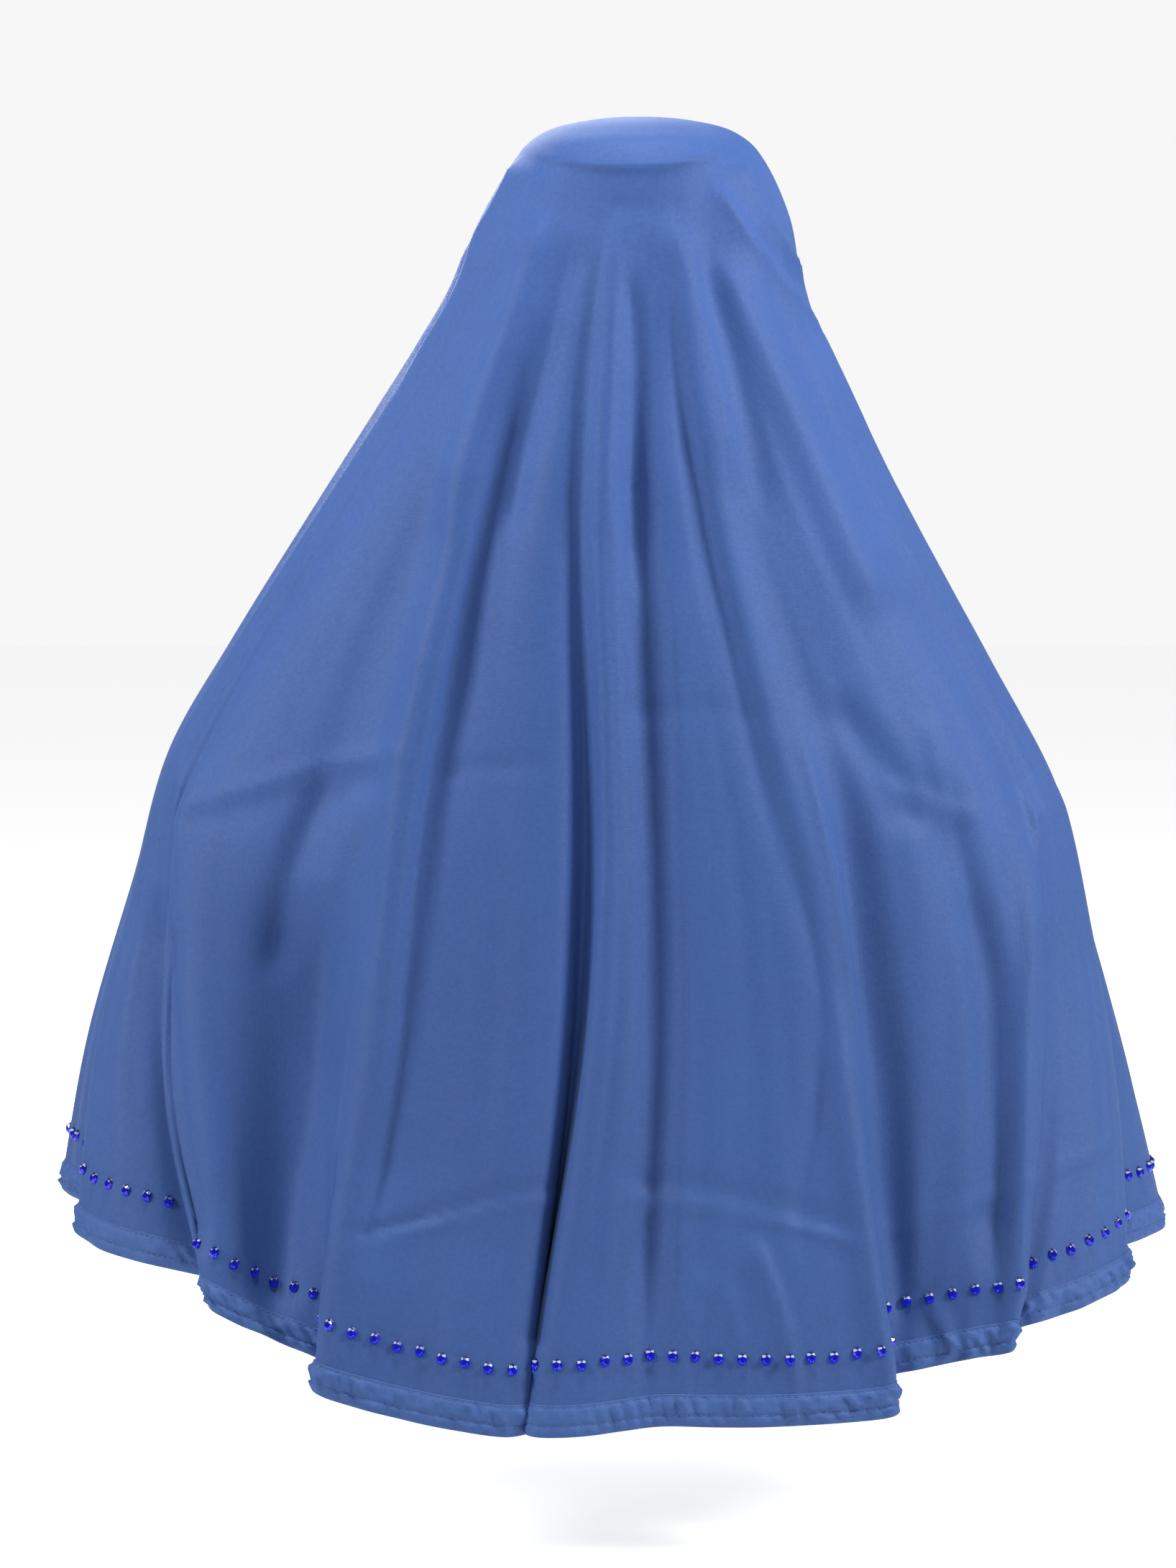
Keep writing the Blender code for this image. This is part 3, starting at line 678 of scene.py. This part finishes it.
hem = {
    "height": drape["hemHeight"],
    "outside": 0.00145,          # its outer face, off the cloth's inner face
    "inside": -0.00045,
    "samples": 22,               # points between two fold lines
    "upperStitch": 0.0150,       # height of the stitch rows above the edge
    "lowerStitch": 0.0055,
    "pucker": 0.00050,
    "puckerLength": 0.0085,
    "puckerBend": (1.9, 31),     # how far its sine is bent along the hem, and how often
    "puckerSlant": 220,
    "uneven": (0.7, 33, 14.6),   # how much puckers and crumples vary, by two slow sines
    "padding": 0.0004,           # lift of the plain hem
    "easeEdge": 0.003,           # heights over which it all comes in, from the edge and the top
    "easeTop": 0.002,
    "flatMiddle": 0.13,          # metres either side of the middle lobe where crumples fade
    # crumples: size, length along the hem, slant and phase
    "crumples": ((0.0016, 0.023, 260, 0.3), (0.0014, 0.037, -190, 2.2),
                 (0.0009, 0.0132, 340, 4.0)),
    "stitchPinch": 0.0009,       # half width of the line that a stitch row pulls in
    "flare": 0.0010, "flareLength": 0.031, "flareReach": 0.012,   # the wavy lower edge
    "edgeDrop": 0.0007,          # how far the rounded edge hangs below both faces
    # shares of the hem's height where its rings of points lie, from its top to its edge
    "rings": (1.0, 0.96, 0.93, 0.91, 0.87, 0.78, 0.66, 0.54, 0.42, 0.37, 0.335, 0.30,
              0.22, 0.12, 0.04, 0.0),
}


def hemLift(at, up):
    # how far the hem's outer face lies off the cloth: pulled in along the two rows of stitches,
    # puckered between them by a bent sine along the hem, and crumpled by slanted sines
    run = np.interp(at, runPlaces, edgeRun)
    pinch = (np.exp(-((up - hem["upperStitch"]) / hem["stitchPinch"])**2)
             + np.exp(-((up - hem["lowerStitch"]) / hem["stitchPinch"])**2))
    swing, first, second = hem["uneven"]
    slow = 1 + swing * np.sin(run * first) * np.sin(run * second)
    bend, often = hem["puckerBend"]
    ripple = np.sin(2 * np.pi * run / hem["puckerLength"] + bend * np.sin(run * often)
                    + up * hem["puckerSlant"])
    band = (np.clip(up / hem["easeEdge"], 0, 1)
            * np.clip((hem["height"] - up) / hem["easeTop"], 0, 1))
    lift = (hem["pucker"] * (slow * ripple * band * (1 - 0.6 * pinch) - 0.9 * pinch)
            + hem["padding"] * band)
    middle = np.interp(middlePlace, runPlaces, edgeRun)
    crumpled = 1 - 0.75 * np.exp(-(np.abs(run - middle) / hem["flatMiddle"])**4)
    for size, length, slant, phase in hem["crumples"]:
        wave = np.sin(2 * np.pi * run / length + slant * up + phase
                      + 2.0 * np.sin(run * 19 + phase))
        lift = lift + size * band * slow * crumpled * (1 - 0.7 * pinch) * (1 - np.abs(wave))**2
    flare = hem["flare"] * np.sin(2 * np.pi * run / hem["flareLength"] + 2.2 * np.sin(run * 9))
    flare = flare * np.clip(1 - up / hem["flareReach"], 0, 1)
    return lift + flare, flare


def makeHem():
    at = np.arange(foldCount * hem["samples"]) / hem["samples"]
    levels = clothLength - hem["height"] * np.array(hem["rings"])
    points, normals = clothSurface(levels, at)
    across = np.interp(at, runPlaces, edgeRun)
    lift, flare = hemLift(at, (clothLength - levels)[:, None])
    outer = points + normals * (hem["outside"] + lift)[..., None]
    inner = points + normals * (hem["inside"] + flare)[..., None]
    edge = (outer[-1] + inner[-1]) / 2 + np.array([0, 0, -hem["edgeDrop"]])
    loop = np.concatenate([outer, edge[None], inner[::-1]])
    down = np.concatenate([levels, [levels[-1] + 0.001],
                           levels[-1] + 0.002 + (levels[-1] - levels[::-1])])
    mesh = gridMesh("turnedHem", loop, across, down, closed=True)
    return addPiece("turnedHem", mesh, hemCloth, "hem_band")


turnedHem = makeHem()
print("hem made")


def ringFrames(level, lift, spacing, first=0.5, hemmed=False):
    # places at an even spacing along the cloth at one level, or along the hem's own face, each
    # with its own directions: along the row, up the cloth, and out of it
    at = runPlaces[:-1]
    beside = 0.002
    points, normals = clothSurface(np.array([level - beside, level, level + beside]), at)
    ring, out = points[1], normals[1]
    if hemmed:
        ring = ring + out * hemLift(at, clothLength - level)[0][:, None]
    steps = np.linalg.norm(np.roll(ring, -1, 0) - ring, axis=1)
    run = np.concatenate([[0.0], np.cumsum(steps)])
    count = int(run[-1] / spacing)
    wanted = (np.arange(count) + first) * run[-1] / count
    i = np.searchsorted(run, wanted, side="right") - 1
    t = ((wanted - run[i]) / steps[i])[:, None]
    j = (i + 1) % len(ring)
    places = ring[i] * (1 - t) + ring[j] * t
    normal = out[i] * (1 - t) + out[j] * t
    normal /= np.linalg.norm(normal, axis=1)[:, None]
    along = ring[j] - ring[i]
    along -= normal * (along * normal).sum(1)[:, None]
    along /= np.linalg.norm(along, axis=1)[:, None]
    frames = np.stack([along, np.cross(normal, along), normal], 1)
    return places + normal * lift, frames


stitch = {
    "length": 0.0023, "width": 0.00060, "spacing": 0.0033, "sides": 6, "rings": 5,
    "taper": 0.85,          # share of its cross-section lost at its ends
    "dip": 0.00022,         # how far its ends sink
    "proud": 0.00015,       # how far its middle line lies off the hem
}


def makeStitches():
    # each stitch is a short thread that dips into the cloth at both ends
    lengths = np.linspace(-1, 1, stitch["rings"])
    turn = np.linspace(0, 2 * np.pi, stitch["sides"], endpoint=False)
    radius = stitch["width"] / 2 * np.sqrt(1 - stitch["taper"] * lengths**2)
    template = np.stack([
        np.repeat(lengths * stitch["length"] / 2, len(turn)),
        (radius[:, None] * np.cos(turn)).ravel(),
        (radius[:, None] * np.sin(turn) - stitch["dip"] * lengths[:, None]**2).ravel()], 1)
    sides, last = len(turn), stitch["rings"] - 1
    faces = [[r * sides + s, r * sides + (s + 1) % sides,
              (r + 1) * sides + (s + 1) % sides, (r + 1) * sides + s]
             for r in range(last) for s in range(sides)]
    faces += [list(range(sides))[::-1], list(range(last * sides, (last + 1) * sides))]
    rows = [ringFrames(clothLength - hem[row], hem["outside"] + stitch["proud"],
                       stitch["spacing"], first, True)
            for row, first in (("upperStitch", 0.2), ("lowerStitch", 0.6))]
    places = np.concatenate([row[0] for row in rows])
    frames = np.concatenate([row[1] for row in rows])
    mesh = copiesMesh("hemStitches", template, faces, places, frames)
    mesh.shade_smooth()
    return mesh


def threadMaterial():
    material = bpy.data.materials.new("sewingThread")
    material.use_nodes = True
    tree = material.node_tree
    shader = tree.nodes["Principled BSDF"]
    place = addNode(tree, "ShaderNodeTexCoord").outputs["Object"]
    twist = addNode(tree, "ShaderNodeTexNoise", {"Vector": place, "Scale": 2600.0, "Detail": 2.0})
    ramp = addNode(tree, "ShaderNodeMix",
                   {"Factor": twist.outputs["Fac"], "A": (0.030, 0.058, 0.180, 1.0),
                    "B": (0.150, 0.220, 0.500, 1.0)}, data_type="RGBA")
    tree.links.new(ramp.outputs["Result"], shader.inputs["Base Color"])
    shader.inputs["Roughness"].default_value = 0.5
    bump = addNode(tree, "ShaderNodeBump", {"Height": twist.outputs["Fac"], "Strength": 0.4,
                                            "Distance": 0.0001})
    tree.links.new(bump.outputs["Normal"], shader.inputs["Normal"])
    return material


hemStitches = addPiece("hemStitches", makeStitches(), threadMaterial(), None)
print("stitches made")

stone = {
    "width": 0.0060, "height": 0.0026, "rise": 0.0355, "spacing": 0.0131,
    "stretch": 1.16,        # its length up the cloth, as a share of its width
    "sunk": 0.0001,         # how deep its foot lies in the cloth
    "wobbles": ((0.0016, 0.37), (0.0005, 2.9)),   # size and turn per stone of the row's waver
    # the cut's rings: shares of the radius and of the height, and turn in eighths of a circle
    "cut": ((1.00, 0.00, 0.0), (1.00, 0.20, 0.0), (0.80, 0.62, 0.5), (0.52, 1.00, 0.0)),
}


def stoneTemplate():
    # a round cut: a low side, sixteen crown facets in two rows, and an eight-sided table
    radius = stone["width"] / 2
    turn = np.arange(8) * np.pi / 4
    points = np.concatenate([
        np.stack([radius * share * np.cos(turn + shift * np.pi / 4),
                  radius * share * stone["stretch"] * np.sin(turn + shift * np.pi / 4),
                  np.full(8, stone["height"] * rise)], 1) for share, rise, shift in stone["cut"]])
    faces = [[s, (s + 1) % 8, 8 + (s + 1) % 8, 8 + s] for s in range(8)]
    faces += [[8 + s, 8 + (s + 1) % 8, 16 + s] for s in range(8)]
    faces += [[8 + (s + 1) % 8, 16 + (s + 1) % 8, 16 + s] for s in range(8)]
    faces += [[16 + s, 16 + (s + 1) % 8, 24 + (s + 1) % 8] for s in range(8)]
    faces += [[16 + s, 24 + (s + 1) % 8, 24 + s] for s in range(8)]
    faces += [list(range(24, 32)), list(range(8))[::-1]]
    return points, faces


def stoneMaterial():
    # blue glass over foil with its light painted into the colour by facing: painted shade on the
    # upper facets, painted light on the lower ones and a painted white glint
    material = bpy.data.materials.new("cutStone")
    material.use_nodes = True
    tree = material.node_tree
    shader = tree.nodes["Principled BSDF"]
    coordinates = addNode(tree, "ShaderNodeTexCoord")
    facing = addNode(tree, "ShaderNodeSeparateXYZ", {0: coordinates.outputs["Normal"]}).outputs["Z"]
    depth = addNode(tree, "ShaderNodeTexNoise",
                    {"Vector": coordinates.outputs["Object"], "Scale": 330.0})
    # painted shade and light by facing: upward facets dark navy, lower facets bright blue, varied
    # by noise
    shade = addMath(tree, "ADD", facing, addMath(tree, "MULTIPLY", depth.outputs["Fac"], 0.3))
    paintedFacingShade = addNode(tree, "ShaderNodeMapRange",
                   {"Value": shade, "From Min": 0.05, "From Max": 0.75})
    colour = addNode(tree, "ShaderNodeMix",
                     {"Factor": paintedFacingShade.outputs["Result"], "A": (0.003, 0.012, 0.95, 1.0),
                      "B": (0.001, 0.003, 0.12, 1.0)}, data_type="RGBA")
    # a painted white glint on facets that face up at a slant
    low = addNode(tree, "ShaderNodeMapRange", {"Value": shade, "From Min": 0.66, "From Max": 0.74})
    high = addNode(tree, "ShaderNodeMapRange", {"Value": shade, "From Min": 0.98, "From Max": 0.90})
    paintedGlint = addMath(tree, "MULTIPLY", low.outputs["Result"], high.outputs["Result"])
    withPaintedGlint = addNode(tree, "ShaderNodeMix", {"Factor": paintedGlint, "A": colour.outputs["Result"],
                                          "B": (0.70, 0.82, 1.0, 1.0)}, data_type="RGBA")
    tree.links.new(withPaintedGlint.outputs["Result"], shader.inputs["Base Color"])
    rough = addNode(tree, "ShaderNodeMapRange", {"Value": depth.outputs["Fac"], "To Min": 0.05,
                                                 "To Max": 0.16})
    tree.links.new(rough.outputs["Result"], shader.inputs["Roughness"])
    shader.inputs["Metallic"].default_value = 0.3
    shader.inputs["Coat Weight"].default_value = 1.0
    shader.inputs["Coat Roughness"].default_value = 0.02
    return material


def makeStones():
    template, faces = stoneTemplate()
    places, frames = ringFrames(clothLength - stone["rise"], drape["wall"] - stone["sunk"],
                                stone["spacing"])
    order = np.arange(len(places))
    slide = sum(size * np.sin(order * turn) for size, turn in stone["wobbles"])
    places = places + frames[:, 1] * slide[:, None]
    return copiesMesh("cutStones", template, faces, places, frames)


cutStones = addPiece("cutStones", makeStones(), stoneMaterial(), "stone_row")
print("stones made")


# Studio

studioLook = {
    "floorDrop": -0.80, "floorSize": 14.0, "floorTone": 0.86,
    "ambient": 0.11, "backdrop": 0.93, "floorGlow": 0.80,
    "key": ((-1.75, 0.75, 0.60), 0.5, 34.0),
    "fill": ((1.75, 0.75, 0.60), 0.5, 26.0),
    "top": ((0.05, 0.2, 1.7), 0.4, 25.0),
    "front": ((0.5, -2.2, 0.7), 1.2, 28.0),
}


def makeStudio():
    floor = bpy.data.meshes.new("floor")
    half = studioLook["floorSize"] / 2
    corners = [(-half, -half, 0), (half, -half, 0), (half, half, 0), (-half, half, 0)]
    floor.from_pydata(corners, [], [(0, 1, 2, 3)])
    floor.transform(Matrix.Translation((0, 0, studioLook["floorDrop"])))
    floorObject = bpy.data.objects.new("floor", floor)
    studio.objects.link(floorObject)
    paint = bpy.data.materials.new("paleFloor")
    paint.use_nodes = True
    shader = paint.node_tree.nodes["Principled BSDF"]
    tone = studioLook["floorTone"]
    shader.inputs["Base Color"].default_value = (tone, tone, tone, 1)
    shader.inputs["Roughness"].default_value = 0.9
    shader.inputs["Emission Color"].default_value = (1, 1, 1, 1)
    glow = addNode(paint.node_tree, "ShaderNodeLightPath").outputs["Is Camera Ray"]
    glow = addMath(paint.node_tree, "MULTIPLY", glow, studioLook["floorGlow"])
    paint.node_tree.links.new(glow, shader.inputs["Emission Strength"])
    floor.materials.append(paint)
    world = bpy.data.worlds.new("studioLight")
    world.use_nodes = True
    tree = world.node_tree
    tree.nodes["Background"].inputs["Color"].default_value = (1, 1, 1, 1)
    seen = addNode(tree, "ShaderNodeLightPath").outputs["Is Camera Ray"]
    strength = addNode(tree, "ShaderNodeMapRange", {"Value": seen, "To Min": studioLook["ambient"],
                                                    "To Max": studioLook["backdrop"]})
    tree.links.new(strength.outputs["Result"], tree.nodes["Background"].inputs["Strength"])
    bpy.context.scene.world = world
    target = Vector(camera["target"])
    for name in ("key", "fill", "top", "front"):
        place, size, power = studioLook[name]
        light = bpy.data.lights.new(name, "AREA")
        light.energy, light.size = power, size
        lamp = bpy.data.objects.new(name, light)
        lamp.location = place
        lamp.rotation_euler = (target - Vector(place)).to_track_quat("-Z", "Y").to_euler()
        studio.objects.link(lamp)


def makeCamera():
    e = math.radians(camera["elevation"])
    away = Vector((0, math.cos(e), math.sin(e)))
    data = bpy.data.cameras.new("behind")
    data.sensor_width = 36.0
    data.lens = data.sensor_width * camera["distance"] / camera["seenHeight"]
    new = bpy.data.objects.new("behind", data)
    new.location = Vector(camera["target"]) + away * camera["distance"]
    new.rotation_euler = (-away).to_track_quat("-Z", "Y").to_euler()
    studio.objects.link(new)
    bpy.context.scene.camera = new


makeStudio()
makeCamera()
bpy.context.scene.view_settings.view_transform = "Standard"
print("studio and camera set")
